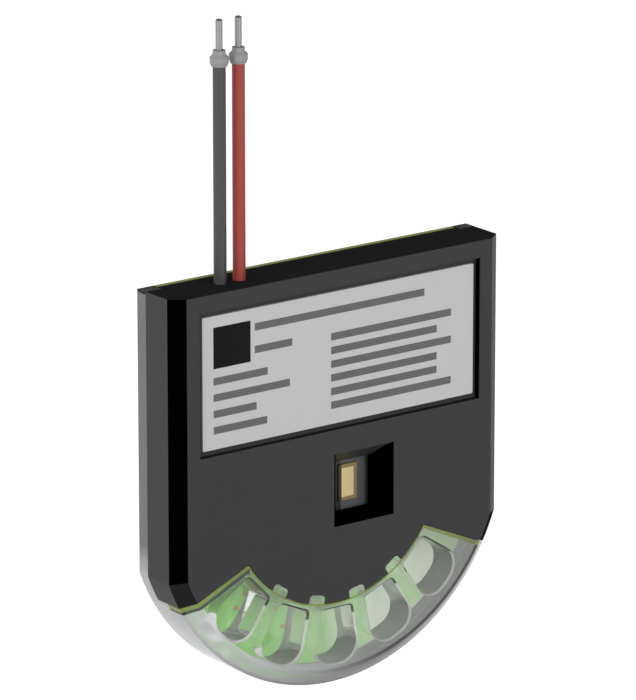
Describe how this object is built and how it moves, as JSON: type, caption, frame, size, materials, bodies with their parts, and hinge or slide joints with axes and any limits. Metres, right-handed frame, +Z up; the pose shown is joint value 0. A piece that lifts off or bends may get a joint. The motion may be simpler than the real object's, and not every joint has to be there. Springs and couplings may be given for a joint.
{
  "type": "enclosure leak sensor",
  "caption": "Flat D-shaped leak sensor with a black cover, a status window, a clear prism ring round its foot and two short leads with ferrules at its top.",
  "frame": {"origin": "on the flat back, at the centre of the round foot's arc", "axes": "+Z up towards the leads, front face towards -Y, +Y out of the back"},
  "size_m": [0.054, 0.0084, 0.0923],
  "materials": {
    "clear_polycarbonate": "clear moulded",
    "black_plastic": "fine moulded grain",
    "silver_label": "satin film",
    "green_board": "solder mask",
    "lamp_body": "moulded",
    "lamp_lens": "cast resin",
    "grey_plastic": "moulded",
    "chip_epoxy": "moulded epoxy",
    "ceramic": "fired",
    "solder": "reflowed",
    "optic_resin": "cast resin",
    "dark_optic_resin": "cast resin",
    "black_insulation": "extruded",
    "red_insulation": "extruded",
    "ferrule_collar": "moulded",
    "tinned_copper": "tin plated"
  },
  "bodies": {
    "root": {"base_housing": "clear_polycarbonate", "front_cover": "black_plastic", "label_plate": "silver_label", "circuit_board": "green_board", "status_lamp_body": "lamp_body", "status_lamp_lens": "lamp_lens", "status_lamp_holder": "grey_plastic", "controller_chip": "chip_epoxy", "output_switch": "chip_epoxy", "input_diode": "chip_epoxy", "voltage_regulator": "chip_epoxy", "chip_capacitors": "ceramic", "chip_resistors": "chip_epoxy", "black_solder_joint": "solder", "red_solder_joint": "solder", "light_emitter_1": "optic_resin", "light_emitter_2": "optic_resin", "light_receiver_1": "dark_optic_resin", "light_receiver_2": "dark_optic_resin", "black_lead": "black_insulation", "red_lead": "red_insulation", "black_ferrule_collar": "ferrule_collar", "red_ferrule_collar": "ferrule_collar", "black_ferrule_pin": "tinned_copper", "red_ferrule_pin": "tinned_copper"}
  },
  "joints": []
}
